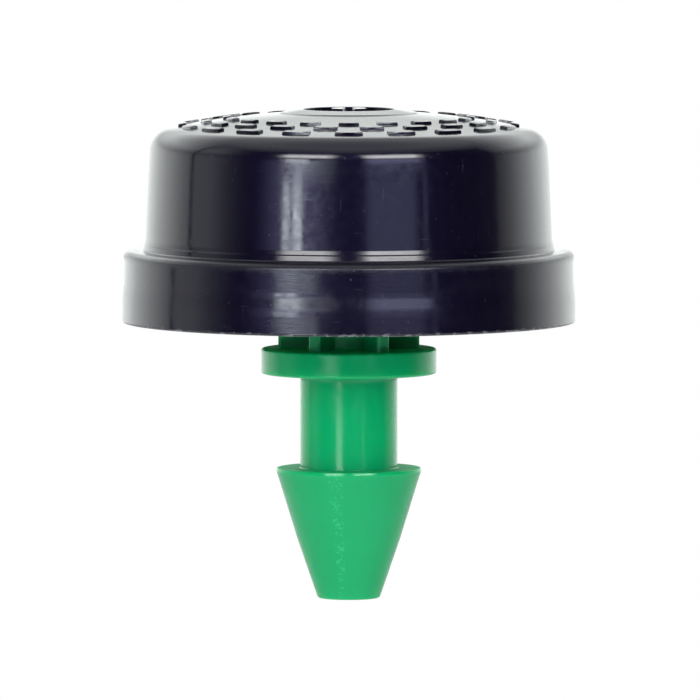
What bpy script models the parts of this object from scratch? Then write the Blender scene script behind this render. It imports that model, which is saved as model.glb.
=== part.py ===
"""Pressure-compensating button drip emitter, built piece by piece.

A green barbed base plugs into the wall of an irrigation tube. A dark cap snaps
over it and holds, from the bottom up, a slotted inlet filter, a disc with a
zigzag labyrinth in its top face, and a loose silicone diaphragm that lifts
towards the outlet seat as the water pressure rises.

Every size below is in millimetres. Z = 0 is the underside of the flange that
stops against the tube, and the barb points down.
"""

import math

import bmesh
import bpy
from mathutils import Matrix

MM = 0.001

# Turned surfaces
STEPS = 48
WELD = 1e-6

# Barb and stem, below the flange
STEM_R = 2.06
STEM_LENGTH = 4.0
BARB_R = 3.07
BARB_LAND = 0.12
CONE_BEND_R = 2.16
CONE_BEND_Z = -7.05
TIP_R = 1.31
TIP_Z = -9.52
BORE_R = 0.7

# Flange and the ribbed neck above it
FLANGE_R = 3.71
FLANGE_TOP = 1.07
HUB_R = 1.7
RIB_REACH = 2.98
RIB_WIDTH = 0.55
RIB_COUNT = 6

# Base disc and the cup that plugs into the cap
DISC_R = 8.6
DISC_BOTTOM = 3.05
DISC_RELIEF = 3.5
DISC_TOP = 4.55
CUP_OUTER_R = 7.45
CUP_INNER_R = 6.95
CUP_TOP = 6.05

# Cap, outside
SKIRT_BOTTOM = 2.19
SKIRT_BOTTOM_R = 9.61
FLARE_BOTTOM_R = 9.60
FLARE_BOTTOM_Z = 3.33
FLARE_TOP_R = 9.535
FLARE_TOP_Z = 3.95
SKIRT_TOP_R = 9.53
SKIRT_TOP = 4.97
LEDGE_CORNER_R = 9.46
LEDGE_CORNER_Z = 5.115
LEDGE_OUTER_R = 9.30
LEDGE_OUTER_Z = 5.205
LEDGE_INNER_R = 8.72
LEDGE_INNER_Z = 5.25
WALL_FOOT_R = 8.62
WALL_FOOT_Z = 5.70
WALL_TOP_R = 8.443
SHOULDER_Z = 9.385
SHOULDER_ARC = 1.02
DOME_ARC = 40.0
BOSS_FOOT_R = 2.95
BOSS_RIM_R = 2.05
BOSS_RIM_Z = 11.18

# Cap, outlet in the middle of the dome
CRATER_R = 1.93
CRATER_FLOOR = 10.45
NOZZLE_R = 0.74
NOZZLE_TOP = 11.22
OUTLET_R = 0.35
NOZZLE_SLOT = 0.3

# Cap, inside
SKIRT_INNER_R = 8.7
BEAD_R = 8.45
BEAD_LOW = 2.5
BEAD_HIGH = 3.0
STEP_Z = 4.68
BODY_INNER_R = 7.6
ROOF_Z = 9.2
RECESS_R = 4.6
RECESS_Z = 9.6
SEAT_R = 1.6
SEAT_GROOVE = 0.25
SEAT_GROOVE_DEPTH = 0.15

# Inlet filter
FILTER_R = 6.8
FILTER_FOOT_R = 6.3
FILTER_BOTTOM = 4.62
FILTER_PLATE = 5.25
FILTER_TOP = 5.95
SLOT_COUNT = 24
SLOT_WIDTH = 0.4
SLOT_INNER_R = 3.0
SLOT_OUTER_R = 5.9

# Labyrinth disc
LABYRINTH_R = 7.4
LABYRINTH_BOTTOM = 6.12
LABYRINTH_TOP = 9.13
INTAKE_R = 6.6
INTAKE_Z = 7.0
WELL_R = 4.5
WELL_Z = 7.7
CHANNEL_INNER_R = 5.15
CHANNEL_OUTER_R = 6.75
CHANNEL_Z = 8.6
TOOTH_PAIRS = 17
TOOTH_REACH = 0.95
TOOTH_ROOT = 0.6
TOOTH_TIP = 0.25
DIVIDER_WIDTH = 0.9
CHANNEL_HOLE_R = 0.4
PAD_COUNT = 6
PAD_INNER_R = 2.9
PAD_OUTER_R = 4.3
PAD_WIDTH = 0.6
PAD_TOP = 7.9
PRESSURE_HOLES = 3
PRESSURE_HOLE_R = 0.45
PRESSURE_HOLE_AT = 2.0

# Diaphragm
DIAPHRAGM_R = 4.2
DIAPHRAGM_BOTTOM = 7.95
DIAPHRAGM_TOP = 8.75
DIAPHRAGM_EDGE = 0.12


def clear_scene():
    """Removes every object, so that the script builds the same thing each time."""
    for obj in list(bpy.data.objects):
        bpy.data.objects.remove(obj, do_unlink=True)


def new_collection(name):
    collection = bpy.data.collections.new(name)
    bpy.context.scene.collection.children.link(collection)
    return collection


def new_material(name, colour, roughness, subsurface=0.0):
    material = bpy.data.materials.new(name)
    material.use_nodes = True
    shader = material.node_tree.nodes["Principled BSDF"]
    shader.inputs["Base Color"].default_value = (*colour, 1.0)
    shader.inputs["Roughness"].default_value = roughness
    shader.inputs["Metallic"].default_value = 0.0
    shader.inputs["Subsurface Weight"].default_value = subsurface
    shader.inputs["Subsurface Radius"].default_value = (MM, MM, MM)
    return material


def arc(centre_r, centre_z, radius, start, end, pieces):
    """Points of an arc in the profile plane, from angle start to end in degrees."""
    points = []
    for i in range(pieces + 1):
        angle = math.radians(start + (end - start) * i / pieces)
        points.append((centre_r + radius * math.cos(angle), centre_z + radius * math.sin(angle)))
    return points


def dome_z(r):
    """Height of the domed top at radius r: an arc centred on the axis that runs smoothly into the shoulder's."""
    centre_z = SHOULDER_Z - math.sqrt((DOME_ARC - SHOULDER_ARC) ** 2 - (WALL_TOP_R - SHOULDER_ARC) ** 2)
    return centre_z + math.sqrt(DOME_ARC**2 - r * r)


def turned(name, profile, closed, material, collection):
    """A solid of revolution about Z. The profile lists (radius, height), down the outer side."""
    mesh = bpy.data.meshes.new(name)
    edges = [(i, i + 1) for i in range(len(profile) - 1)]
    if closed:
        edges.append((len(profile) - 1, 0))
    mesh.from_pydata([(r * MM, 0.0, z * MM) for r, z in profile], edges, [])
    obj = bpy.data.objects.new(name, mesh)
    collection.objects.link(obj)
    screw = obj.modifiers.new("Turn", "SCREW")
    screw.axis = "Z"
    screw.steps = STEPS
    screw.render_steps = STEPS
    screw.use_merge_vertices = True
    screw.merge_threshold = WELD
    screw.use_smooth_shade = True
    obj.data.materials.append(material)
    return obj


def helper_object(name, bm, collection):
    """A hidden cutter or filler made from the shapes in bm."""
    mesh = bpy.data.meshes.new(name)
    bm.to_mesh(mesh)
    bm.free()
    obj = bpy.data.objects.new(name, mesh)
    obj.hide_render = True
    obj.display_type = "WIRE"
    collection.objects.link(obj)
    return obj


def add_wedge(bm, angle, inner, outer, inner_width, outer_width, low, high):
    """A radial block between two radii, which may taper, turned to an angle in degrees."""
    turn = Matrix.Rotation(math.radians(angle), 4, "Z")
    made = bmesh.ops.create_cube(bm, size=1.0)
    for vert in made["verts"]:
        at_outer = vert.co.x > 0
        width = outer_width if at_outer else inner_width
        vert.co.x = (outer if at_outer else inner) * MM
        vert.co.y *= width * MM
        vert.co.z = (high if vert.co.z > 0 else low) * MM
        vert.co = turn @ vert.co


def add_drill(bm, angle, at_radius, hole_radius, low, high):
    """An upright cylinder at a distance from the axis."""
    place = Matrix.Rotation(math.radians(angle), 4, "Z")
    place @= Matrix.Translation((at_radius * MM, 0.0, (low + high) / 2 * MM))
    bmesh.ops.create_cone(
        bm,
        cap_ends=True,
        segments=16,
        radius1=hole_radius * MM,
        radius2=hole_radius * MM,
        depth=(high - low) * MM,
        matrix=place,
    )


def combine(obj, operand, operation):
    modifier = obj.modifiers.new(operand.name, "BOOLEAN")
    modifier.operation = operation
    modifier.solver = "EXACT"
    modifier.object = operand


def barb_profile():
    """The base from its bore, over the cup and disc, down the stem and barb, and back up the bore."""
    profile = [(BORE_R, DISC_TOP), (CUP_INNER_R, DISC_TOP), (CUP_INNER_R, CUP_TOP)]
    profile += [(CUP_OUTER_R - 0.12, CUP_TOP), (CUP_OUTER_R, CUP_TOP - 0.2)]
    profile += [(CUP_OUTER_R, DISC_TOP), (DISC_R - 0.15, DISC_TOP), (DISC_R, DISC_TOP - 0.15)]
    profile += [(DISC_R, DISC_BOTTOM + 0.25), (DISC_R - 0.25, DISC_BOTTOM)]
    profile += [(CUP_OUTER_R - 0.3, DISC_BOTTOM), (CUP_OUTER_R - 0.6, DISC_RELIEF)]
    profile += [(HUB_R + 0.2, DISC_RELIEF), (HUB_R, DISC_RELIEF - 0.2), (HUB_R, FLANGE_TOP)]
    profile += [(FLANGE_R - 0.12, FLANGE_TOP), (FLANGE_R, FLANGE_TOP - 0.12)]
    profile += [(FLANGE_R, 0.1), (FLANGE_R - 0.1, 0.0)]
    profile += [(STEM_R + 0.22, 0.0), (STEM_R + 0.06, -0.06), (STEM_R, -0.22)]
    profile += [(STEM_R, -STEM_LENGTH), (BARB_R - 0.04, -STEM_LENGTH)]
    profile += [(BARB_R, -STEM_LENGTH - 0.04), (BARB_R, -STEM_LENGTH - BARB_LAND)]
    profile += [(CONE_BEND_R, CONE_BEND_Z)]
    profile += [(TIP_R, TIP_Z + 0.12), (TIP_R - 0.1, TIP_Z), (BORE_R, TIP_Z)]
    return profile


def make_barb_base(material, parts, cutters):
    base = turned("barb_base", barb_profile(), True, material, parts)
    bm = bmesh.new()
    for i in range(RIB_COUNT):
        angle = 360 * i / RIB_COUNT
        add_wedge(bm, angle, 1.2, RIB_REACH, RIB_WIDTH, RIB_WIDTH, 0.8, DISC_RELIEF + 0.2)
    combine(base, helper_object("neck_ribs", bm, cutters), "UNION")
    return base


def cap_outer_profile():
    """The cap's outside, from the outlet bore over the dome and ledge to the skirt's edge."""
    profile = [(OUTLET_R, NOZZLE_TOP), (NOZZLE_R - 0.05, NOZZLE_TOP), (NOZZLE_R, NOZZLE_TOP - 0.05)]
    profile += [(NOZZLE_R, CRATER_FLOOR), (CRATER_R - 0.05, CRATER_FLOOR)]
    profile += [(CRATER_R, BOSS_RIM_Z - 0.03), (CRATER_R + 0.04, BOSS_RIM_Z)]
    profile += [(BOSS_RIM_R, BOSS_RIM_Z), (BOSS_FOOT_R - 0.15, dome_z(BOSS_FOOT_R) + 0.04)]
    shoulder_r = WALL_TOP_R - SHOULDER_ARC
    slope = math.degrees(math.asin(shoulder_r / (DOME_ARC - SHOULDER_ARC)))
    draft = math.degrees(math.atan((WALL_FOOT_R - WALL_TOP_R) / (SHOULDER_Z - WALL_FOOT_Z)))
    rings = 5
    for i in range(rings):
        r = BOSS_FOOT_R + (shoulder_r - BOSS_FOOT_R) * i / rings
        profile.append((r, dome_z(r)))
    profile += arc(shoulder_r, SHOULDER_Z, SHOULDER_ARC, 90 - slope, draft, 6)
    profile += [(WALL_FOOT_R, WALL_FOOT_Z), (LEDGE_INNER_R, LEDGE_INNER_Z)]
    profile += [(LEDGE_OUTER_R, LEDGE_OUTER_Z), (LEDGE_CORNER_R, LEDGE_CORNER_Z), (SKIRT_TOP_R, SKIRT_TOP)]
    profile += [(FLARE_TOP_R, FLARE_TOP_Z), (FLARE_BOTTOM_R, FLARE_BOTTOM_Z)]
    profile += [(SKIRT_BOTTOM_R, SKIRT_BOTTOM + 0.1), (SKIRT_BOTTOM_R - 0.1, SKIRT_BOTTOM)]
    return profile


def cap_inner_profile():
    """The cap's inside, from the skirt's edge up past the snap bead to the seat and the bore."""
    profile = [(SKIRT_INNER_R + 0.1, SKIRT_BOTTOM), (SKIRT_INNER_R, SKIRT_BOTTOM + 0.1)]
    profile += [(SKIRT_INNER_R, BEAD_LOW), (BEAD_R, BEAD_LOW + 0.22), (BEAD_R, BEAD_HIGH - 0.15)]
    profile += [(SKIRT_INNER_R, BEAD_HIGH + 0.1), (SKIRT_INNER_R, STEP_Z), (BODY_INNER_R, STEP_Z)]
    profile += [(BODY_INNER_R, ROOF_Z), (RECESS_R, ROOF_Z), (RECESS_R, RECESS_Z)]
    profile += [(SEAT_R + 0.1, RECESS_Z), (SEAT_R, ROOF_Z), (OUTLET_R, ROOF_Z)]
    return profile


def make_cap(material, parts, cutters):
    cap = turned("cap", cap_outer_profile() + cap_inner_profile(), True, material, parts)
    bm = bmesh.new()
    half_slot = NOZZLE_R + 0.2
    add_wedge(bm, 90, -half_slot, half_slot, NOZZLE_SLOT, NOZZLE_SLOT, CRATER_FLOOR + 0.1, NOZZLE_TOP + 0.3)
    add_wedge(bm, 0, 0.1, SEAT_R + 0.3, SEAT_GROOVE, SEAT_GROOVE, ROOF_Z - 0.3, ROOF_Z + SEAT_GROOVE_DEPTH)
    combine(cap, helper_object("outlet_slots", bm, cutters), "DIFFERENCE")
    return cap


def make_inlet_filter(material, parts, cutters):
    profile = [(0.0, FILTER_TOP), (FILTER_R - 0.1, FILTER_TOP), (FILTER_R, FILTER_TOP - 0.1)]
    profile += [(FILTER_R, FILTER_BOTTOM), (FILTER_FOOT_R, FILTER_BOTTOM)]
    profile += [(FILTER_FOOT_R, FILTER_PLATE), (0.0, FILTER_PLATE)]
    plate = turned("inlet_filter", profile, False, material, parts)
    bm = bmesh.new()
    for i in range(SLOT_COUNT):
        angle = 360 * (i + 0.5) / SLOT_COUNT
        low, high = FILTER_PLATE - 0.3, FILTER_TOP + 0.3
        add_wedge(bm, angle, SLOT_INNER_R, SLOT_OUTER_R, SLOT_WIDTH, SLOT_WIDTH, low, high)
    combine(plate, helper_object("filter_slots", bm, cutters), "DIFFERENCE")
    return plate


def channel_cutter(cutters):
    """The labyrinth's water channel: a ring with teeth from both walls and a divider left out."""
    above = LABYRINTH_TOP + 0.3
    profile = [(CHANNEL_INNER_R, above), (CHANNEL_OUTER_R, above)]
    profile += [(CHANNEL_OUTER_R, CHANNEL_Z), (CHANNEL_INNER_R, CHANNEL_Z)]
    plain = bpy.data.materials.new("cutter")
    ring = turned("channel_ring", profile, True, plain, cutters)
    ring.hide_render = True
    ring.display_type = "WIRE"
    bm = bmesh.new()
    low, high = CHANNEL_Z - 0.3, above + 0.3
    add_wedge(bm, 0, CHANNEL_INNER_R - 0.3, CHANNEL_OUTER_R + 0.3, DIVIDER_WIDTH, DIVIDER_WIDTH, low, high)
    teeth = 2 * TOOTH_PAIRS
    for i in range(1, teeth):
        angle = 360 * (i + 0.5) / (teeth + 1)
        if i % 2:
            root, tip = CHANNEL_INNER_R - 0.3, CHANNEL_INNER_R + TOOTH_REACH
            add_wedge(bm, angle, root, tip, TOOTH_ROOT, TOOTH_TIP, low, high)
        else:
            root, tip = CHANNEL_OUTER_R + 0.3, CHANNEL_OUTER_R - TOOTH_REACH
            add_wedge(bm, angle, tip, root, TOOTH_TIP, TOOTH_ROOT, low, high)
    combine(ring, helper_object("labyrinth_teeth", bm, cutters), "DIFFERENCE")
    return ring


def make_labyrinth_disc(material, parts, cutters):
    profile = [(0.0, WELL_Z), (WELL_R, WELL_Z), (WELL_R, LABYRINTH_TOP)]
    profile += [(LABYRINTH_R - 0.12, LABYRINTH_TOP), (LABYRINTH_R, LABYRINTH_TOP - 0.12)]
    profile += [(LABYRINTH_R, LABYRINTH_BOTTOM), (INTAKE_R, LABYRINTH_BOTTOM)]
    profile += [(INTAKE_R, INTAKE_Z), (0.0, INTAKE_Z)]
    disc = turned("labyrinth_disc", profile, False, material, parts)

    bm = bmesh.new()
    for i in range(PAD_COUNT):
        angle = 360 * i / PAD_COUNT
        add_wedge(bm, angle, PAD_INNER_R, PAD_OUTER_R, PAD_WIDTH, PAD_WIDTH, WELL_Z - 0.3, PAD_TOP)
    combine(disc, helper_object("diaphragm_pads", bm, cutters), "UNION")

    combine(disc, channel_cutter(cutters), "DIFFERENCE")

    bm = bmesh.new()
    middle = (CHANNEL_INNER_R + CHANNEL_OUTER_R) / 2
    end_angle = math.degrees((DIVIDER_WIDTH / 2 + CHANNEL_HOLE_R + 0.1) / middle)
    low, high = INTAKE_Z - 0.3, CHANNEL_Z + 0.2
    add_drill(bm, end_angle, middle, CHANNEL_HOLE_R, low, high)
    for i in range(PRESSURE_HOLES):
        angle = 360 * (i + 0.25) / PRESSURE_HOLES
        add_drill(bm, angle, PRESSURE_HOLE_AT, PRESSURE_HOLE_R, low, WELL_Z + 0.3)
    inner, outer, width = WELL_R - 0.3, CHANNEL_INNER_R + 0.3, 2 * CHANNEL_HOLE_R
    add_wedge(bm, -end_angle, inner, outer, width, width, CHANNEL_Z, LABYRINTH_TOP + 0.3)
    combine(disc, helper_object("labyrinth_ports", bm, cutters), "DIFFERENCE")
    return disc


def make_diaphragm(material, parts):
    edge = DIAPHRAGM_EDGE
    profile = [(0.0, DIAPHRAGM_TOP)]
    profile += arc(DIAPHRAGM_R - edge, DIAPHRAGM_TOP - edge, edge, 90, 0, 3)
    profile += arc(DIAPHRAGM_R - edge, DIAPHRAGM_BOTTOM + edge, edge, 0, -90, 3)
    profile += [(0.0, DIAPHRAGM_BOTTOM)]
    return turned("diaphragm", profile, False, material, parts)


def main():
    clear_scene()
    parts = new_collection("drip_emitter")
    cutters = new_collection("cutters")
    cutters.hide_render = True

    green = new_material("barb_plastic", (0.018, 0.42, 0.145), 0.38, subsurface=0.1)
    navy = new_material("cap_plastic", (0.010, 0.007, 0.020), 0.22)
    white = new_material("filter_plastic", (0.62, 0.62, 0.58), 0.5)
    black = new_material("labyrinth_plastic", (0.02, 0.02, 0.022), 0.45)
    silicone = new_material("diaphragm_silicone", (0.42, 0.40, 0.37), 0.6, subsurface=0.2)

    make_barb_base(green, parts, cutters)
    make_inlet_filter(white, parts, cutters)
    make_labyrinth_disc(black, parts, cutters)
    make_diaphragm(silicone, parts)
    make_cap(navy, parts, cutters)


main()
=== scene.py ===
"""Looks of a pressure-compensating drip emitter: a dark domed cap snapped over a green barbed base, with a
filter, a labyrinth disc and a silicone diaphragm inside. Lengths are in millimetres until a mesh is made, and
the frame is in metres. +Z runs from the barb to the outlet, and -Y faces the camera."""

import math

import bmesh
import bpy
from mathutils import Matrix, Vector


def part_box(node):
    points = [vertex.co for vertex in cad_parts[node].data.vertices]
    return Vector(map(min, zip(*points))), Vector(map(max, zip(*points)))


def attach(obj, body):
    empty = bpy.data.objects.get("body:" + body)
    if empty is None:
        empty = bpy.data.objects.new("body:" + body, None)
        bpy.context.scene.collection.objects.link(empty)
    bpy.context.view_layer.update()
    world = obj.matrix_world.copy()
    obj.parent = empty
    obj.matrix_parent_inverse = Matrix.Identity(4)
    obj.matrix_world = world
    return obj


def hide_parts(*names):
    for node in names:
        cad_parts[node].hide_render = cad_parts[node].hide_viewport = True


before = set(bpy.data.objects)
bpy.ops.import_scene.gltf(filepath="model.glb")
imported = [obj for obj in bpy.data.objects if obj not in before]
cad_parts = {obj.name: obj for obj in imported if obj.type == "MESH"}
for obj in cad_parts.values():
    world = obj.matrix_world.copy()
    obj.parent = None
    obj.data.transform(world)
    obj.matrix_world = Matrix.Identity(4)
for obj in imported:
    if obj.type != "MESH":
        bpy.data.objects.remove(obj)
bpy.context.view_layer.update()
MM = 0.001


def node_box(node):
    """A CAD node's lowest and highest corners in millimetres."""
    low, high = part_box(node)
    return low / MM, high / MM


CAP_LOW, CAP_HIGH = node_box("cap")
BASE_LOW, BASE_HIGH = node_box("barb_base")

TURNED_STEPS = 288
FILLET_STEP = math.radians(9)
SHARP_ANGLE = math.radians(38)
EDGE_LOOP = 0.02
EDGE_LOOP_SHARE = 0.015
SETBACK_SHARE = 0.48
SMALLEST_TURN = math.radians(1)

# Cap, outside. A corner is (r, z, fillet), and a foot step is (drop, slope).
SKIRT_BOTTOM = CAP_LOW.z
SKIRT_BOTTOM_R = CAP_HIGH.x
FLARE_BOTTOM_R = SKIRT_BOTTOM_R - 0.012
FLARE_BOTTOM_Z = 3.18
FLARE_TOP_R = SKIRT_BOTTOM_R - 0.085
FLARE_TOP_Z = 3.86
LEDGE_CORNER = ((9.30, 5.205, 0.2), (9.448, 5.115, 0.2), (9.512, 4.99, 0.15))
SKIRT_SHOULDER_Z = 5.0
WALL_FOOT_Z = 5.70
WALL_DRAFT = math.radians(2.6)
FOOT_STEPS = ((0.16, math.radians(11.5)), (0.07, math.radians(20)), (0.22, math.radians(11)))
WALL_BEND_Z = 8.085
WALL_BEND_R = 8.513
WALL_BEND_ARC = 60.4
SHOULDER_START = math.radians(3.9)
SHOULDER_ARC = 1.02
DOME_ARC = 40.0
BOSS_FOOT_R = 2.95
BOSS_FOOT_LIP = (0.12, 0.05)
BOSS_RIM_R = 2.07
BOSS_RIM_Z = 11.18
CRATER_R = 1.93
CRATER_DRAFT = 0.04
CRATER_FLOOR = 10.45
NOZZLE_R = 0.74
NOZZLE_TOP = CAP_HIGH.z
NOZZLE_SLOT = 0.3
NOZZLE_ROOT = 0.2
NOZZLE_BEVEL = 0.04
NOZZLE_OUTER_STEPS = 24
NOZZLE_INNER_STEPS = 10
OUTLET_R = 0.35
OUTLET_CLEARANCE = 1.01

# Cap, inside.
SKIRT_INNER_R = 8.7
BEAD_R = 8.45
BEAD_LOW = 2.5
BEAD_LEAD = 0.22
BEAD_TOP = 2.85
BEAD_HIGH = 3.1
STEP_Z = 4.68
BODY_INNER_R = 7.6
ROOF_Z = 9.2
RECESS_R = 4.6
RECESS_Z = 9.6
SEAT_FOOT_R = 1.7
SEAT_R = 1.6

# Raised grip marks round the dome.
MARK_HEIGHT = 0.10
MARK_ROOT = -0.15
MARK_WIDTH = 0.34
MARK_BEVEL = 0.05
MARK_STEP = 0.3
MARKS_PER_ROW = 20
MARK_ROWS = (5.15, 6.1, 7.05)
MARK_SHARE = 0.52

# Barbed base.
TIP_Z = BASE_LOW.z
TIP_R = 1.31
CONE_BEND_R = 2.16
CONE_BEND_Z = -7.05
BORE_R = 0.7
STEM_R = 2.06
STEM_LENGTH = 4.0
BARB_R = 3.07
BARB_LAND = 0.12
BARB_CHAMFER = 0.03
FLANGE_R = 3.71
FLANGE_TOP = 1.07
HUB_R = 1.7
RIB_COUNT = 6
RIB_REACH = 2.98
RIB_WIDTH = 0.55
RIB_CORNER = 0.1
RIB_ROOT = 0.5
RIB_SINK = (0.1, 0.2)
DISC_R = BASE_HIGH.x
DISC_BOTTOM = 3.05
DISC_RELIEF = 3.5
RELIEF_R = 7.15
RELIEF_FLOOR_R = 6.85
DISC_TOP = 4.55
CUP_INNER_R = 6.95
CUP_OUTER_R = 7.45
CUP_TOP = BASE_HIGH.z
CUP_LEAD_IN = (0.12, 0.22)
PARTING_ANGLE = math.radians(-101)

# Colours, in linear light: the darkest and the lightest that a plastic's mottling reaches, and its marks.
NAVY = ((0.0007, 0.0003, 0.0032, 1), (0.0016, 0.0009, 0.0068, 1))
NAVY_SCRATCH = (0.016, 0.016, 0.026, 1)
NAVY_SCUFF = (0.11, 0.11, 0.13, 1)
GREEN = ((0.001, 0.286, 0.096, 1), (0.003, 0.330, 0.122, 1))
# Painted shade: the green of the neck, darkened where the cap's skirt shades it.
GREEN_NECK_PAINTED_SHADE = (0.001, 0.21, 0.074, 1)
GREEN_FLECK = (0.014, 0.370, 0.142, 1)
NATURAL = ((0.58, 0.58, 0.53, 1), (0.68, 0.68, 0.64, 1))
BLACK = ((0.014, 0.014, 0.016, 1), (0.026, 0.026, 0.028, 1))
MILKY = ((0.38, 0.37, 0.34, 1), (0.46, 0.45, 0.42, 1))
PALE_FLOOR = ((0.84, 0.84, 0.84, 1), (0.88, 0.88, 0.88, 1))


# ---------------------------------------------------------------- outlines and meshes


def arc(centre, radius, start, end, pieces):
    """Points on an arc in the (r, z) half plane, from one angle to the other, both in radians."""
    points = []
    for i in range(pieces + 1):
        a = start + (end - start) * i / pieces
        points.append((centre[0] + radius * math.cos(a), centre[1] + radius * math.sin(a)))
    return points


def rounded(corners):
    """A closed outline whose corners (r, z, fillet) are rounded by their fillets. A point close to each end
    of a fillet keeps the flat beside it flat when it is smooth-shaded."""
    outline = []
    count = len(corners)
    for i in range(count):
        here = Vector(corners[i][:2])
        before = Vector(corners[i - 1][:2]) - here
        after = Vector(corners[(i + 1) % count][:2]) - here
        fillet = corners[i][2] if len(corners[i]) > 2 else 0
        turn = math.pi - before.angle(after)
        if fillet == 0 or turn < SMALLEST_TURN:
            outline.append(tuple(here))
            continue
        setback = min(fillet * math.tan(turn / 2), SETBACK_SHARE * before.length,
                      SETBACK_SHARE * after.length)
        radius = setback / math.tan(turn / 2)
        inward = (before.normalized() + after.normalized()).normalized()
        centre = here + inward * radius / math.cos(turn / 2)
        start = here + before.normalized() * setback - centre
        steps = max(2, math.ceil(turn / FILLET_STEP))
        sign = 1 if start.cross(here + after.normalized() * setback - centre) > 0 else -1
        loop = setback + min(EDGE_LOOP, EDGE_LOOP_SHARE * before.length)
        outline.append(tuple(here + before.normalized() * loop))
        for k in range(steps + 1):
            spot = Matrix.Rotation(sign * turn * k / steps, 2) @ start
            outline.append(tuple(centre + spot))
        loop = setback + min(EDGE_LOOP, EDGE_LOOP_SHARE * after.length)
        outline.append(tuple(here + after.normalized() * loop))
    return outline


def turned(outline):
    """A bmesh of a closed (r, z) outline turned about the axis."""
    bm = bmesh.new()
    rings = []
    for i in range(TURNED_STEPS):
        a = 2 * math.pi * i / TURNED_STEPS
        rings.append([bm.verts.new((r * math.cos(a) * MM, r * math.sin(a) * MM, z * MM)) for r, z in outline])
    count = len(outline)
    for i in range(TURNED_STEPS):
        here, there = rings[i], rings[(i + 1) % TURNED_STEPS]
        for k in range(count):
            n = (k + 1) % count
            bm.faces.new((here[k], there[k], there[n], here[n]))
    bmesh.ops.recalc_face_normals(bm, faces=bm.faces)
    return bm


def prism(bm, outline, low, high, bevel=0.0):
    """Adds a prism over an (x, y) outline between two heights, with its top and upright edges bevelled."""
    bottom = [bm.verts.new((x * MM, y * MM, low * MM)) for x, y in outline]
    top = [bm.verts.new((x * MM, y * MM, high * MM)) for x, y in outline]
    faces = [bm.faces.new(bottom[::-1]), bm.faces.new(top)]
    for i in range(len(outline)):
        n = (i + 1) % len(outline)
        faces.append(bm.faces.new((bottom[i], bottom[n], top[n], top[i])))
    if bevel:
        rims = list(faces[1].edges)
        uprights = [e for v in top for e in v.link_edges if e not in rims and e.calc_face_angle(0) > 0.6]
        edges = rims + uprights
        bmesh.ops.bevel(
            bm, geom=edges, offset=bevel * MM, segments=2, affect="EDGES", profile=0.5, clamp_overlap=True
        )
    return bm


def smooth(mesh):
    """Shades a mesh smooth, but for the edges sharper than SHARP_ANGLE."""
    for polygon in mesh.polygons:
        polygon.use_smooth = True
    mesh.set_sharp_from_angle(angle=SHARP_ANGLE)


def made(name, bm):
    """The bmesh as a linked, smooth-shaded object."""
    mesh = bpy.data.meshes.new(name)
    bm.to_mesh(mesh)
    bm.free()
    smooth(mesh)
    piece = bpy.data.objects.new(name, mesh)
    bpy.context.scene.collection.objects.link(piece)
    return piece


def joined(piece, tool):
    """piece with tool joined to it, as one mesh. The tool is removed."""
    modifier = piece.modifiers.new("join", "BOOLEAN")
    modifier.operation = "UNION"
    modifier.solver = "EXACT"
    modifier.object = tool
    evaluated = piece.evaluated_get(bpy.context.evaluated_depsgraph_get())
    mesh = bpy.data.meshes.new_from_object(evaluated)
    piece.modifiers.clear()
    old = piece.data
    piece.data = mesh
    bpy.data.meshes.remove(old)
    mesh.name = piece.name
    bpy.data.objects.remove(tool)
    smooth(mesh)
    return piece


def on_ring(radius, angle):
    """The (x, y) point at a radius and an angle from +X."""
    return (radius * math.cos(angle), radius * math.sin(angle))


# ---------------------------------------------------------------- cap


def shoulder_points():
    """The centres of the cap's smooth wall and shoulder arcs, and the height of its dome's centre."""
    draft = Vector((math.cos(WALL_DRAFT), math.sin(WALL_DRAFT)))
    bend = Vector((WALL_BEND_R, WALL_BEND_Z)) - WALL_BEND_ARC * draft
    out = Vector((math.cos(SHOULDER_START), math.sin(SHOULDER_START)))
    shoulder = bend + (WALL_BEND_ARC - SHOULDER_ARC) * out
    dome = shoulder.y - math.sqrt((DOME_ARC - SHOULDER_ARC) ** 2 - shoulder.x**2)
    return bend, shoulder, dome


BEND_CENTRE, SHOULDER_CENTRE, DOME_CENTRE_Z = shoulder_points()


def dome_z(r):
    """Height of the domed top at radius r."""
    return DOME_CENTRE_Z + math.sqrt(DOME_ARC**2 - r * r)


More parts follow.
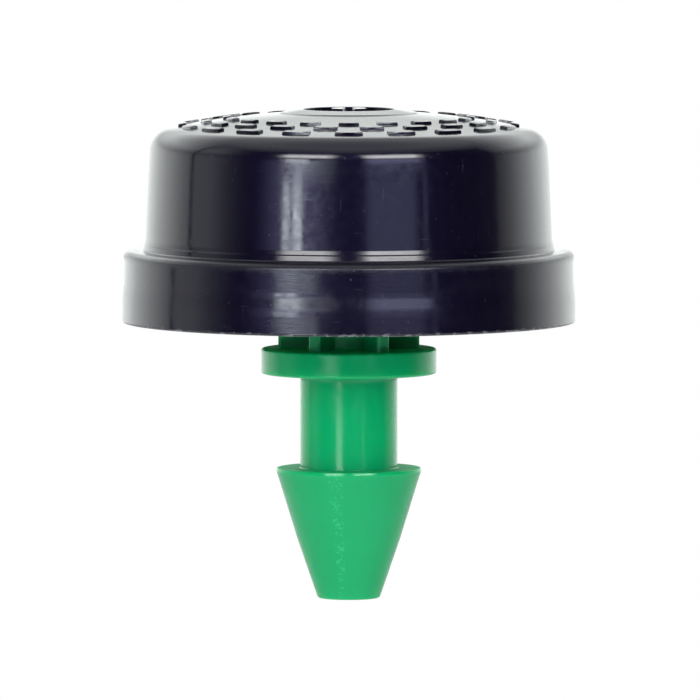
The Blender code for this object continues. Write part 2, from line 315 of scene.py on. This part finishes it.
def cap_outline():
    """The cap's closed outline, with every moulded edge rounded."""
    corners = [(OUTLET_R, CRATER_FLOOR), (CRATER_R - CRATER_DRAFT, CRATER_FLOOR, 0.1)]
    corners += [(CRATER_R, BOSS_RIM_Z, 0.04), (BOSS_RIM_R, BOSS_RIM_Z, 0.1)]
    boss_foot_z = dome_z(BOSS_FOOT_R)
    lip_in, lip_up = BOSS_FOOT_LIP
    corners += [(BOSS_FOOT_R - lip_in, boss_foot_z + lip_up, 0.1), (BOSS_FOOT_R, boss_foot_z, 0.1)]
    dome_start = math.acos((BOSS_FOOT_R + 0.2) / DOME_ARC)
    dome_end = math.atan2(SHOULDER_CENTRE.y - DOME_CENTRE_Z, SHOULDER_CENTRE.x)
    corners += arc((0, DOME_CENTRE_Z), DOME_ARC, dome_start, dome_end, 16)[:-1]
    corners += arc(SHOULDER_CENTRE, SHOULDER_ARC, dome_end, SHOULDER_START, 18)[:-1]
    corners += arc(BEND_CENTRE, WALL_BEND_ARC, SHOULDER_START, WALL_DRAFT, 7)
    wall_foot_r = WALL_BEND_R + (WALL_BEND_Z - WALL_FOOT_Z) * math.tan(WALL_DRAFT)
    foot = Vector((wall_foot_r, WALL_FOOT_Z))
    for drop, slope in FOOT_STEPS:
        corners.append((foot.x, foot.y, 0.15))
        foot += Vector((drop * math.tan(slope), -drop))
    corners += [(foot.x, foot.y, 0.05), *LEDGE_CORNER]
    corners += [(FLARE_TOP_R, FLARE_TOP_Z, 3.0), (FLARE_BOTTOM_R, FLARE_BOTTOM_Z, 4.0)]
    corners += [(SKIRT_BOTTOM_R, SKIRT_BOTTOM, 0.1)]
    corners += [(SKIRT_INNER_R, SKIRT_BOTTOM, 0.1), (SKIRT_INNER_R, BEAD_LOW, 0.05)]
    corners += [(BEAD_R, BEAD_LOW + BEAD_LEAD, 0.06), (BEAD_R, BEAD_TOP, 0.06)]
    corners += [(SKIRT_INNER_R, BEAD_HIGH, 0.05), (SKIRT_INNER_R, STEP_Z, 0.1)]
    corners += [(BODY_INNER_R, STEP_Z, 0.06), (BODY_INNER_R, ROOF_Z, 0.2)]
    corners += [(RECESS_R, ROOF_Z, 0.06), (RECESS_R, RECESS_Z, 0.1)]
    corners += [(SEAT_FOOT_R, RECESS_Z, 0.05), (SEAT_R, ROOF_Z, 0.05), (OUTLET_R, ROOF_Z, 0.05)]
    return rounded(corners)


def nozzle_posts():
    """The two half-round posts of the outlet nozzle, either side of the slot."""
    bm = bmesh.new()
    half = NOZZLE_SLOT / 2
    for side in (-1, 1):
        outer = math.asin(half / NOZZLE_R)
        inner = math.asin(half / OUTLET_R)
        outline = []
        for i in range(NOZZLE_OUTER_STEPS + 1):
            a = -math.pi / 2 + outer + (math.pi - 2 * outer) * i / NOZZLE_OUTER_STEPS
            outline.append((side * NOZZLE_R * math.cos(a), side * NOZZLE_R * math.sin(a)))
        reach = side * OUTLET_R * OUTLET_CLEARANCE
        for i in range(NOZZLE_INNER_STEPS + 1):
            a = math.pi / 2 - inner - (math.pi - 2 * inner) * i / NOZZLE_INNER_STEPS
            outline.append((reach * math.cos(a), reach * math.sin(a)))
        prism(bm, outline, CRATER_FLOOR - NOZZLE_ROOT, NOZZLE_TOP, NOZZLE_BEVEL)
    bmesh.ops.recalc_face_normals(bm, faces=bm.faces)
    return made("nozzle_posts", bm)


def add_mark(bm, inner, outer, start, end):
    """Adds one raised mark: a bent bar on the dome, between two radii and two angles."""
    steps = max(1, math.ceil((end - start) * outer / MARK_STEP))
    angles = [start + (end - start) * i / steps for i in range(steps + 1)]
    outline = [on_ring(outer, a) for a in angles] + [on_ring(inner, a) for a in reversed(angles)]
    own = bmesh.new()
    prism(own, outline, MARK_ROOT, MARK_HEIGHT, MARK_BEVEL)
    for v in own.verts:
        v.co.z += dome_z(math.hypot(v.co.x, v.co.y) / MM) * MM
    mesh = bpy.data.meshes.new("mark")
    own.to_mesh(mesh)
    own.free()
    bm.from_mesh(mesh)
    bpy.data.meshes.remove(mesh)


def grip_marks():
    """The ring of raised marks: three rows of dashes, each row half a pitch round from the last."""
    bm = bmesh.new()
    pitch = 2 * math.pi / MARKS_PER_ROW
    for row, radius in enumerate(MARK_ROWS):
        for i in range(MARKS_PER_ROW):
            middle = (i + row / 2) * pitch
            half = MARK_SHARE * pitch / 2
            add_mark(bm, radius - MARK_WIDTH / 2, radius + MARK_WIDTH / 2, middle - half, middle + half)
    return made("grip_marks", bm)


def make_cap():
    """The dark moulding: dome, body, ledge, skirt, outlet nozzle and grip marks."""
    cap = made("domed_cap", turned(cap_outline()))
    joined(cap, nozzle_posts())
    return joined(cap, grip_marks())


# ---------------------------------------------------------------- base


def base_outline():
    """The base's closed outline: inlet bore, cup, disc, hub, flange, stem and barb."""
    corners = [(BORE_R, TIP_Z, 0.06), (BORE_R, DISC_TOP, 0.1)]
    corners += [(CUP_INNER_R, DISC_TOP, 0.1), (CUP_INNER_R, CUP_TOP, 0.08)]
    lead_in, lead_down = CUP_LEAD_IN
    corners += [(CUP_OUTER_R - lead_in, CUP_TOP, 0.06), (CUP_OUTER_R, CUP_TOP - lead_down, 0.06)]
    corners += [(CUP_OUTER_R, DISC_TOP, 0.1), (DISC_R, DISC_TOP, 0.2)]
    corners += [(DISC_R, DISC_BOTTOM, 0.25), (RELIEF_R, DISC_BOTTOM, 0.08)]
    corners += [(RELIEF_FLOOR_R, DISC_RELIEF, 0.12)]
    corners += [(HUB_R, DISC_RELIEF, 0.25), (HUB_R, FLANGE_TOP, 0.15)]
    corners += [(FLANGE_R, FLANGE_TOP, 0.1), (FLANGE_R, 0, 0.12)]
    corners += [(STEM_R, 0, 0.28), (STEM_R, -STEM_LENGTH, 0.06)]
    corners += [(BARB_R - BARB_CHAMFER, -STEM_LENGTH, 0.03), (BARB_R, -STEM_LENGTH - BARB_LAND, 0.05)]
    corners += [(CONE_BEND_R, CONE_BEND_Z, 6.0), (TIP_R, TIP_Z, 0.12)]
    return rounded(corners)


def neck_ribs():
    """The six upright ribs between flange and disc, overlapping both a little."""
    bm = bmesh.new()
    half = RIB_WIDTH / 2
    root = HUB_R - RIB_ROOT
    sink_low, sink_high = RIB_SINK
    for i in range(RIB_COUNT):
        a = 2 * math.pi * i / RIB_COUNT
        turn = Matrix.Rotation(a, 2)
        outline = []
        for x, y in ((root, -half), (RIB_REACH - RIB_CORNER, -half), (RIB_REACH, -half + RIB_CORNER)):
            outline.append(tuple(turn @ Vector((x, y))))
        for x, y in ((RIB_REACH, half - RIB_CORNER), (RIB_REACH - RIB_CORNER, half), (root, half)):
            outline.append(tuple(turn @ Vector((x, y))))
        prism(bm, outline, FLANGE_TOP - sink_low, DISC_RELIEF + sink_high)
    bmesh.ops.recalc_face_normals(bm, faces=bm.faces)
    return made("neck_ribs", bm)


def make_base():
    """The green moulding."""
    base = made("barbed_inlet_base", turned(base_outline()))
    return joined(base, neck_ribs())


# ---------------------------------------------------------------- materials


NOISE_ROUGHNESS = 0.55


class Shader:
    """A node material being built round one Principled shader."""

    def __init__(self, name):
        self.material = bpy.data.materials.new(name)
        self.material.use_nodes = True
        self.tree = self.material.node_tree
        self.shader = self.tree.nodes["Principled BSDF"]
        self.place = self.tree.nodes.new("ShaderNodeTexCoord").outputs["Object"]

    def put(self, socket, value):
        """Links or sets a socket."""
        if isinstance(value, bpy.types.NodeSocket):
            self.tree.links.new(value, socket)
        else:
            socket.default_value = value

    def set(self, **inputs):
        """Sets or links the Principled shader's sockets."""
        for key, value in inputs.items():
            self.put(self.shader.inputs[key.replace("_", " ")], value)

    def math(self, operation, a, b=0.0):
        """A math node's result for one or two values, each a number or a socket."""
        node = self.tree.nodes.new("ShaderNodeMath")
        node.operation = operation
        self.put(node.inputs[0], a)
        self.put(node.inputs[1], b)
        return node.outputs[0]

    def noise(self, scale, detail, stretch=(1, 1, 1), vector=None):
        """Noise between 0 and 1, with `scale` features to the metre, times `stretch` along each axis."""
        mapping = self.tree.nodes.new("ShaderNodeMapping")
        mapping.inputs["Scale"].default_value = [scale * s for s in stretch]
        self.tree.links.new(vector or self.place, mapping.inputs["Vector"])
        node = self.tree.nodes.new("ShaderNodeTexNoise")
        node.inputs["Scale"].default_value = 1.0
        node.inputs["Detail"].default_value = detail
        node.inputs["Roughness"].default_value = NOISE_ROUGHNESS
        self.tree.links.new(mapping.outputs[0], node.inputs["Vector"])
        return node.outputs["Fac"]

    def remap(self, value, low, high, to_low, to_high):
        """A value moved from one range to another, and kept within it."""
        node = self.tree.nodes.new("ShaderNodeMapRange")
        self.put(node.inputs["Value"], value)
        node.inputs["From Min"].default_value = low
        node.inputs["From Max"].default_value = high
        node.inputs["To Min"].default_value = to_low
        node.inputs["To Max"].default_value = to_high
        return node.outputs[0]

    def mix(self, factor, a, b):
        """Colour a where the factor is 0, and b where it is 1."""
        node = self.tree.nodes.new("ShaderNodeMix")
        node.data_type = "RGBA"
        self.put(node.inputs[0], factor)
        self.put(node.inputs[6], a)
        self.put(node.inputs[7], b)
        return node.outputs[2]

    def bump(self, height, distance, onto=None):
        """A bump normal from a height of 0 to 1, `distance` millimetres high, on top of another."""
        node = self.tree.nodes.new("ShaderNodeBump")
        node.inputs["Strength"].default_value = 1.0
        node.inputs["Distance"].default_value = distance * MM
        self.put(node.inputs["Height"], height)
        if onto is not None:
            self.put(node.inputs["Normal"], onto)
        return node.outputs[0]

    def round_axis(self):
        """(angle round the axis in radians, height in metres) at the shaded point."""
        split = self.tree.nodes.new("ShaderNodeSeparateXYZ")
        self.tree.links.new(self.place, split.inputs[0])
        return self.math("ARCTAN2", split.outputs[1], split.outputs[0]), split.outputs[2]

    def wrapped(self, angle, height, around, upwards):
        """A point on the unrolled surface, scaled by features to the radian and to the metre."""
        node = self.tree.nodes.new("ShaderNodeCombineXYZ")
        self.put(node.inputs[0], self.math("MULTIPLY", angle, around))
        self.put(node.inputs[1], self.math("MULTIPLY", height, upwards))
        return node.outputs[0]

    def above(self, value, level):
        """1 where a value is above a level, and 0 elsewhere."""
        return self.math("GREATER_THAN", value, level)

    def bell(self, height, middle, reach):
        """1 at a height in millimetres, fading to 0 at its reach above and below."""
        away = self.math("ABSOLUTE", self.math("SUBTRACT", height, middle * MM))
        return self.remap(away, 0, reach * MM, 1, 0)

    def paint(self, piece):
        """Puts this material on a piece, as its only one."""
        piece.data.materials.clear()
        piece.data.materials.append(self.material)


def cap_plastic():
    """Glossy near-black navy plastic under a clear skin, with flow mottling, lines from the mould, scratches
    and a scuffed bottom edge."""
    s = Shader("navy_moulded_plastic")
    angle, height = s.round_axis()
    mottle = s.noise(420, 5)
    navy = s.mix(mottle, *NAVY)
    upright = s.above(s.noise(1.0, 1, vector=s.wrapped(angle, height, 240, 700)), 0.77)
    level = s.above(s.noise(1.0, 1, vector=s.wrapped(angle, height, 7, 24000)), 0.79)
    specks = s.above(s.noise(7500, 1), 0.76)
    marks = s.math("MAXIMUM", s.math("MAXIMUM", upright, level), specks)
    scuffs = s.above(s.noise(1.0, 3, vector=s.wrapped(angle, height, 26, 5200)), 0.56)
    scuffs = s.math("MULTIPLY", scuffs, s.bell(height, SKIRT_BOTTOM + 0.02, 0.14))
    s.set(Base_Color=s.mix(scuffs, s.mix(marks, navy, NAVY_SCRATCH), NAVY_SCUFF))
    flow = s.noise(1.0, 4, vector=s.wrapped(angle, height, 22, 180))
    s.set(Roughness=s.remap(flow, 0.3, 0.7, 0.36, 0.46))
    s.set(IOR=1.5, Specular_IOR_Level=0.10, Specular_Tint=(0.45, 0.40, 1.0, 1))
    worn = s.bell(height, SKIRT_SHOULDER_Z, 0.26)
    gloss = s.remap(s.noise(2600, 4), 0.35, 0.65, 0.07, 0.15)
    handled = s.bell(height, (FLARE_TOP_Z + FLARE_BOTTOM_Z) / 2, 1.3)
    gloss = s.math("ADD", gloss, s.math("MULTIPLY", worn, 0.20))
    gloss = s.math("ADD", gloss, s.math("MULTIPLY", handled, 0.045))
    gloss = s.math("ADD", gloss, s.math("MULTIPLY", marks, 0.15))
    s.set(Coat_Weight=1.0, Coat_IOR=1.5, Coat_Roughness=gloss)
    grain = s.noise(5200, 2)
    lines = s.noise(1.0, 2, stretch=(900, 900, 14000))
    orange_peel = s.noise(1100, 2)
    normal = s.bump(orange_peel, 0.0009)
    normal = s.bump(lines, 0.0008, onto=normal)
    normal = s.bump(grain, 0.0009, onto=normal)
    s.set(Normal=normal, Coat_Normal=normal)
    return s


def barb_plastic():
    """Semi-gloss translucent green plastic, matte on its top faces, with a fine grain, pale flecks by its
    parting line, and painted shade that darkens the neck above the flange, under the cap."""
    s = Shader("green_moulded_plastic")
    angle, height = s.round_axis()
    green = s.mix(s.noise(300, 3), *GREEN)
    away = s.math("ABSOLUTE", s.math("SUBTRACT", angle, PARTING_ANGLE))
    on_barb = s.math("LESS_THAN", height, -STEM_LENGTH * MM)
    near = s.math("MULTIPLY", s.math("LESS_THAN", away, 0.1), on_barb)
    flecks = s.math("MULTIPLY", near, s.above(s.noise(7500, 2), 0.58))
    # Painted shade: above the flange the base colour darkens to the neck's shade colour, standing in for the
    # cap's shadow.
    neck_painted_shade = s.remap(height, 0.9 * MM, 1.2 * MM, 0, 1)
    s.set(Base_Color=s.mix(flecks, s.mix(neck_painted_shade, green, GREEN_NECK_PAINTED_SHADE), GREEN_FLECK))
    facing = s.tree.nodes.new("ShaderNodeSeparateXYZ")
    s.tree.links.new(s.tree.nodes.new("ShaderNodeNewGeometry").outputs["Normal"], facing.inputs[0])
    top_face = s.remap(facing.outputs[2], 0.90, 0.97, 0.0, 0.45)
    matte = s.math("MAXIMUM", top_face, s.math("MULTIPLY", neck_painted_shade, 0.3))
    s.set(Roughness=s.math("ADD", s.remap(s.noise(2400, 3), 0.35, 0.65, 0.10, 0.20), matte))
    s.set(IOR=1.45, Specular_IOR_Level=0.3)
    s.shader.subsurface_method = "RANDOM_WALK"
    s.set(Subsurface_Weight=0.75, Subsurface_Radius=(0.25, 1.0, 0.5), Subsurface_Scale=0.0011)
    s.set(Normal=s.bump(s.noise(4500, 2), 0.0016, onto=s.bump(s.noise(900, 2), 0.004)))
    return s


def filter_plastic():
    """Unpigmented matte polypropylene."""
    s = Shader("natural_polypropylene")
    s.set(Base_Color=s.mix(s.noise(350, 3), *NATURAL))
    s.set(Roughness=s.remap(s.noise(1500, 3), 0.3, 0.7, 0.45, 0.62))
    s.set(Subsurface_Weight=0.2, Subsurface_Radius=(1.0, 1.0, 0.9), Subsurface_Scale=0.0005)
    s.set(Normal=s.bump(s.noise(5000, 2), 0.002))
    return s


def labyrinth_plastic():
    """Black satin polypropylene with spark-eroded grain."""
    s = Shader("black_polypropylene")
    s.set(Base_Color=s.mix(s.noise(500, 3), *BLACK))
    s.set(Roughness=s.remap(s.noise(2200, 3), 0.3, 0.7, 0.36, 0.5))
    s.set(Normal=s.bump(s.noise(6000, 3), 0.003))
    return s


def diaphragm_silicone():
    """Milky translucent silicone rubber."""
    s = Shader("milky_silicone")
    s.set(Base_Color=s.mix(s.noise(400, 3), *MILKY))
    s.set(Roughness=s.remap(s.noise(1800, 2), 0.3, 0.7, 0.48, 0.6))
    s.set(Subsurface_Weight=0.5, Subsurface_Radius=(1.0, 0.95, 0.85), Subsurface_Scale=0.0008)
    s.set(Normal=s.bump(s.noise(3500, 2), 0.002))
    return s


# ---------------------------------------------------------------- stage, light and camera

CAMERA_ELEVATION = math.radians(4)
CAMERA_DISTANCE = 0.508
CAMERA_LENS = 618
AIM = Vector((0.05, 0, 0.982)) * MM
FLOOR_Z = -60 * MM
FLOOR_R = 0.45
PANEL_DISTANCE = 0.42
NEAR_PANEL_DISTANCE = 0.07
WHITE = (1, 1, 1)
COOL = (0.81, 0.89, 0.92)
BLUE = (0.60, 0.62, 1.0)
HAZE = (0.60, 0.57, 1.0)


def towards(azimuth, elevation):
    """The unit vector to a light. Angles are in degrees, and azimuth grows from the camera to the right."""
    a, e = math.radians(azimuth), math.radians(elevation)
    return Vector((math.sin(a) * math.cos(e), -math.cos(a) * math.cos(e), math.sin(e)))


def make_floor():
    """A plain pale floor, well below the barb."""
    bm = bmesh.new()
    bmesh.ops.create_circle(bm, cap_ends=True, segments=128, radius=FLOOR_R)
    floor = made("floor", bm)
    floor.location.z = FLOOR_Z
    s = Shader("pale_floor")
    s.set(Base_Color=s.mix(s.noise(30, 2), *PALE_FLOOR), Roughness=0.9)
    s.paint(floor)


def fade(data, across, up):
    """Fades a panel's edges, over these shares of its width and of its height."""
    data.use_nodes = True
    tree = data.node_tree
    link = tree.links.new
    split = tree.nodes.new("ShaderNodeSeparateXYZ")
    link(tree.nodes.new("ShaderNodeNewGeometry").outputs["Parametric"], split.inputs[0])
    strengths = []
    for place, share in zip(split.outputs, (across, up)):
        for edge, full in ((0.0, share), (1.0, 1.0 - share)):
            ramp = tree.nodes.new("ShaderNodeMapRange")
            ramp.interpolation_type = "SMOOTHSTEP"
            ramp.inputs["From Min"].default_value = edge
            ramp.inputs["From Max"].default_value = full
            link(place, ramp.inputs["Value"])
            strengths.append(ramp.outputs[0])
    strength = strengths[0]
    for other in strengths[1:]:
        product = tree.nodes.new("ShaderNodeMath")
        product.operation = "MULTIPLY"
        link(other, product.inputs[0])
        link(strength, product.inputs[1])
        strength = product.outputs[0]
    link(strength, tree.nodes["Emission"].inputs["Strength"])


def panel_light(
    name, azimuth, elevation, wide, tall, radiance, colour=WHITE, soft=(0.1, 0.1), distance=PANEL_DISTANCE
):
    """A soft panel facing the object. Its place, width and height are degrees, as the object sees it."""
    data = bpy.data.lights.new(name, "AREA")
    data.shape = "RECTANGLE"
    data.size = 2 * distance * math.tan(math.radians(wide) / 2)
    data.size_y = 2 * distance * math.tan(math.radians(tall) / 2)
    data.energy = radiance * math.pi * data.size * data.size_y
    data.color = colour
    fade(data, *soft)
    light = bpy.data.objects.new(name, data)
    bpy.context.scene.collection.objects.link(light)
    way = towards(azimuth, elevation)
    light.location = way * distance
    light.rotation_mode = "QUATERNION"
    light.rotation_quaternion = way.to_track_quat("Z", "Y")
    light.visible_camera = False


# How bright the room is, as (degrees, level) stops. The dark slot at -102 is a gap between two white walls.
ROOM_TOP = 2.4
ROOM_COLOUR = (0.755, 0.785, 0.77, 1)
ROOM_BY_AZIMUTH = (
    (-180, 1.9), (-165, 1.85), (-150, 2.2), (-134, 2.15), (-119, 1.85), (-107, 1.25), (-103.8, 1.12),
    (-103.4, 0.02), (-100.8, 0.02), (-100.4, 0.9), (-86, 0.95), (-80, 0.68), (-73, 0.36), (-66, 0.13),
    (-58, 0.02), (92, 0.02), (95, 0.4), (103, 0.78), (115, 1.5), (129, 2.08), (140, 2.25), (150, 2.2),
    (165, 1.72), (180, 1.9),
)
ROOM_BY_HEIGHT = ((-90, 1.0), (4, 1.0), (12, 0.66), (24, 1.25), (36, 0.9), (50, 0.45), (90, 0.4))
CEILING_BY_HEIGHT = ((-90, 0.0), (34, 0.0), (40, 0.4), (50, 0.88), (62, 1.25), (74, 1.1), (90, 1.0))


def make_world():
    """A white room seen from the object: bright behind and at the sides, dim round the camera, with a pale
    ceiling. The camera sees plain white."""
    world = bpy.data.worlds.new("studio")
    bpy.context.scene.world = world
    world.use_nodes = True
    tree = world.node_tree
    tree.nodes.clear()
    link = tree.links.new

    def calc(operation, a, b=0.0):
        """A math node's result for one or two values, each a number or a socket."""
        node = tree.nodes.new("ShaderNodeMath")
        node.operation = operation
        for socket, value in zip(node.inputs, (a, b)):
            if isinstance(value, bpy.types.NodeSocket):
                link(value, socket)
            else:
                socket.default_value = value
        return node.outputs[0]

    def level(angle, whole_turn, stops):
        """The level that the stops (degrees, level) give at an angle in radians."""
        ramp = tree.nodes.new("ShaderNodeValToRGB")
        link(calc("ADD", calc("DIVIDE", angle, math.radians(whole_turn)), 0.5), ramp.inputs[0])
        elements = ramp.color_ramp.elements
        while len(elements) < len(stops):
            elements.new(0.5)
        for element, (degrees, value) in zip(elements, stops):
            element.position = degrees / whole_turn + 0.5
            element.color = (value / ROOM_TOP,) * 3 + (1,)
        return calc("MULTIPLY", ramp.outputs[0], ROOM_TOP)

    split = tree.nodes.new("ShaderNodeSeparateXYZ")
    link(tree.nodes.new("ShaderNodeTexCoord").outputs["Generated"], split.inputs[0])
    x, y, z = split.outputs
    azimuth = calc("ARCTAN2", x, calc("MULTIPLY", y, -1.0))
    height = calc("ARCSINE", z)
    room = calc("MULTIPLY", level(azimuth, 360, ROOM_BY_AZIMUTH), level(height, 180, ROOM_BY_HEIGHT))
    radiance = calc("MAXIMUM", room, level(height, 180, CEILING_BY_HEIGHT))
    lit = tree.nodes.new("ShaderNodeBackground")
    lit.inputs["Color"].default_value = ROOM_COLOUR
    link(radiance, lit.inputs["Strength"])
    white = tree.nodes.new("ShaderNodeBackground")
    white.inputs["Color"].default_value = (*WHITE, 1)
    choose = tree.nodes.new("ShaderNodeMixShader")
    link(tree.nodes.new("ShaderNodeLightPath").outputs["Is Camera Ray"], choose.inputs[0])
    link(lit.outputs[0], choose.inputs[1])
    link(white.outputs[0], choose.inputs[2])
    link(choose.outputs[0], tree.nodes.new("ShaderNodeOutputWorld").inputs[0])


def make_lights():
    """Soft panels in front of the object. The dark cap shows each of them as a reflection."""
    panel_light("strip_left_outer", -35.4, 1.95, 5.2, 4.5, 11.5, COOL, (0.2, 0.36))
    panel_light("strip_left_inner", -29.0, 1.95, 6.2, 4.5, 14.5, COOL, (0.2, 0.36))
    panel_light("strip_left_low", -26, -1.25, 27, 3.1, 3.6, COOL, (0.3, 0.15))
    panel_light("barb_streak", -22, -10, 17, 9, 9.5, COOL, (0.2, 0.05), distance=NEAR_PANEL_DISTANCE)
    panel_light("barb_streak_right", 34, -10, 12, 9, 1.6, BLUE, (0.3, 0.05), distance=NEAR_PANEL_DISTANCE)
    panel_light("halo_left", -30, 2.6, 50, 10.8, 1.7, HAZE, (0.5, 0.1))
    panel_light("glow_left_low", -25, 5.8, 22, 3.6, 2.0, COOL, (0.45, 0.2))
    panel_light("glow_left", -30, 8.6, 18, 6.6, 10.5, COOL, (0.3, 0.22))
    panel_light("glow_left_inner", -16, 7.0, 24, 7, 1.6, COOL, (0.4, 0.3))
    panel_light("card_right", 24.3, 0.9, 35, 8.2, 1.05, BLUE, (0.2, 0.1))
    panel_light("card_right_far", 43.8, 0.9, 3.0, 8.2, 0.8, BLUE)
    panel_light("glow_right", 26, 8.4, 39, 6.8, 3.6, BLUE, (0.2, 0.3))
    panel_light("softbox_left", -24, 23, 36, 25, 12.7, soft=(0.25, 0.5))
    panel_light("softbox_right", 25.5, 23, 37, 25, 12.5, soft=(0.2, 0.45))


def make_camera():
    """The camera, nearly level and far away with a long lens."""
    data = bpy.data.cameras.new("camera")
    data.sensor_width = 36
    data.lens = CAMERA_LENS
    data.clip_start = 0.05
    data.clip_end = 3
    camera = bpy.data.objects.new("camera", data)
    bpy.context.scene.collection.objects.link(camera)
    way = towards(0, math.degrees(CAMERA_ELEVATION))
    camera.location = AIM + way * CAMERA_DISTANCE
    camera.rotation_mode = "QUATERNION"
    camera.rotation_quaternion = (-way).to_track_quat("-Z", "Y")
    bpy.context.scene.camera = camera


# ---------------------------------------------------------------- the scene


def place(piece, shader, body, node, slot):
    """Paints a piece, makes it ride on its body and stand for its CAD node."""
    shader.paint(piece)
    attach(piece, body)
    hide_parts(node)


def main():
    """Makes the two outer mouldings, paints the inner CAD nodes, and sets the stage."""
    place(make_cap(), cap_plastic(), "housing", "cap", "cap_plastic")
    place(make_base(), barb_plastic(), "housing", "barb_base", "barb_plastic")
    for node, shader in (
        ("inlet_filter", filter_plastic()),
        ("labyrinth_disc", labyrinth_plastic()),
        ("diaphragm", diaphragm_silicone()),
    ):
        shader.paint(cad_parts[node])
    make_floor()
    make_world()
    make_lights()
    make_camera()
    bpy.context.scene.view_settings.view_transform = "Standard"


main()
